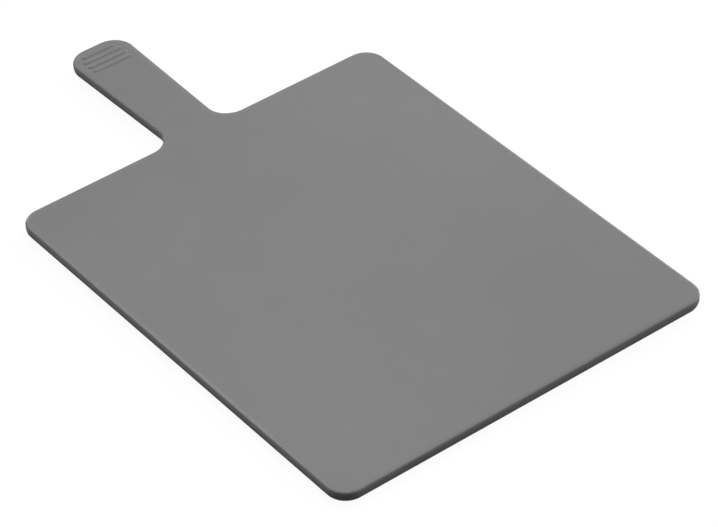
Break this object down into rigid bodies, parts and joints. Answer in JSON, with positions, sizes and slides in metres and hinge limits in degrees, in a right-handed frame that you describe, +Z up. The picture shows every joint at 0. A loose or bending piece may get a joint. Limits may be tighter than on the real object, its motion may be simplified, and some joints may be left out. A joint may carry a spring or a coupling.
{
  "type": "paddle cutting board",
  "caption": "One-piece moulded paddle cutting board: a flat rectangular blade with rounded corners and soft edges, and a short widening handle with low grip ribs.",
  "frame": {"origin": "on the underside, below the middle of the whole length and width", "axes": "+Z up out of the cutting face, +Y along the length from the blade towards the handle's free end, +X to the right across the blade"},
  "size_m": [0.25, 0.4084, 0.0083],
  "materials": {
    "moulded_plastic": "fine satin mould texture"
  },
  "bodies": {
    "root": {"board": "moulded_plastic"}
  },
  "joints": []
}
